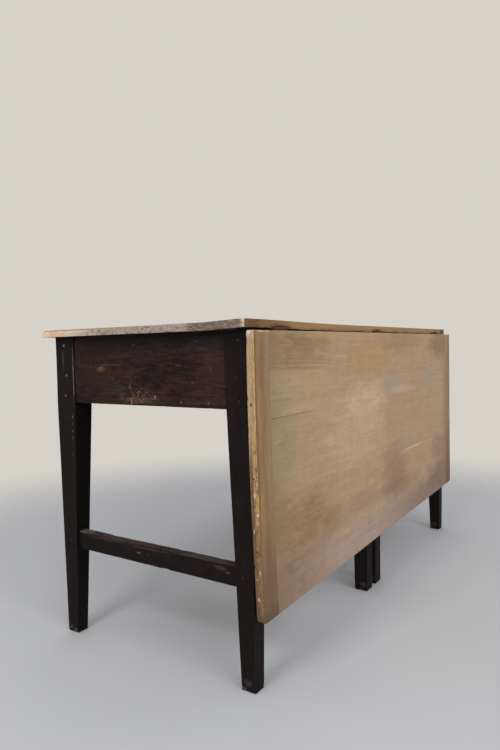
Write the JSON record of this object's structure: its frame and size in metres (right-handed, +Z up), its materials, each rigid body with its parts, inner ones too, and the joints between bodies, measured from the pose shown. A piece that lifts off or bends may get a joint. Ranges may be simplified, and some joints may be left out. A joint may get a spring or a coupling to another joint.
{
  "type": "drop leaf table",
  "caption": "Long farmhouse table with a fixed top, one deep leaf hanging along the front edge, tapered legs, end stretchers, and a pair of swing legs behind the leaf.",
  "frame": {"origin": "on the floor, under the middle of the box that holds the table with its leaf hanging", "axes": "+X along the table's length, +Y towards the back, away from the hanging leaf, +Z up"},
  "size_m": [1.37, 0.6256, 0.76],
  "materials": {
    "dark_frame": "dark stain worn through at the edges",
    "worn_stretcher": "red-brown stain, rubbed along the upper edge",
    "bare_rail": "bare aged softwood",
    "scrubbed_top": "scrubbed and weathered",
    "scrubbed_leaf": "scrubbed, mottled, worn smooth",
    "leaf_cleat_wood": "scrubbed, worn smooth",
    "old_iron": "dull, lightly rusted",
    "steel_fixings": "aged"
  },
  "bodies": {
    "frame": {"leg_front_left": "dark_frame", "leg_front_right": "dark_frame", "leg_back_left": "dark_frame", "leg_back_right": "dark_frame", "end_apron_left": "dark_frame", "end_apron_right": "dark_frame", "back_apron": "dark_frame", "inner_front_rail": "bare_rail", "outer_rail_left": "dark_frame", "outer_rail_right": "dark_frame", "end_stretcher_left": "worn_stretcher", "end_stretcher_right": "worn_stretcher", "knuckle_pin_left": "old_iron", "knuckle_pin_right": "old_iron", "top_board_front": "scrubbed_top", "top_board_middle": "scrubbed_top", "top_board_rear": "scrubbed_top", "top_back_strip": "scrubbed_top", "top_cleat_left": "scrubbed_top", "top_cleat_right": "scrubbed_top", "hinge_top_flap_left": "old_iron", "hinge_top_flap_middle": "old_iron", "hinge_top_flap_right": "old_iron", "hinge_pin_left": "old_iron", "hinge_pin_middle": "old_iron", "hinge_pin_right": "old_iron", "hinge_top_screws": "steel_fixings", "top_screws": "steel_fixings", "end_apron_pegs": "dark_frame", "back_apron_pegs": "dark_frame", "front_rail_pegs": "dark_frame", "stretcher_pegs": "dark_frame", "top_cleat_nails": "steel_fixings"},
    "leaf": {"leaf_board_upper": "scrubbed_leaf", "leaf_board_middle": "scrubbed_leaf", "leaf_board_lower": "scrubbed_leaf", "leaf_cleat_left": "leaf_cleat_wood", "leaf_cleat_right": "leaf_cleat_wood", "hinge_leaf_flap_left": "old_iron", "hinge_leaf_flap_middle": "old_iron", "hinge_leaf_flap_right": "old_iron", "hinge_leaf_screws": "steel_fixings", "leaf_cleat_nails": "steel_fixings"},
    "gate_left": {"fly_rail_left": "dark_frame", "swing_leg_left": "dark_frame", "fly_rail_pegs_left": "dark_frame"},
    "gate_right": {"fly_rail_right": "dark_frame", "swing_leg_right": "dark_frame", "fly_rail_pegs_right": "dark_frame"}
  },
  "joints": [
    {"name": "leaf_hinge", "type": "hinge", "parent": "frame", "child": "leaf", "pos_m": [0, -0.29475, 0.742], "axis": [-1, 0, 0], "range_deg": [0, 90]},
    {"name": "gate_left_pivot", "type": "hinge", "parent": "frame", "child": "gate_left", "pos_m": [-0.4345, -0.26625, 0.6615], "axis": [0, 0, -1], "range_deg": [0, 1.5]},
    {"name": "gate_right_pivot", "type": "hinge", "parent": "frame", "child": "gate_right", "pos_m": [0.4185, -0.26625, 0.6615], "axis": [0, 0, 1], "range_deg": [0, 1.5]}
  ]
}
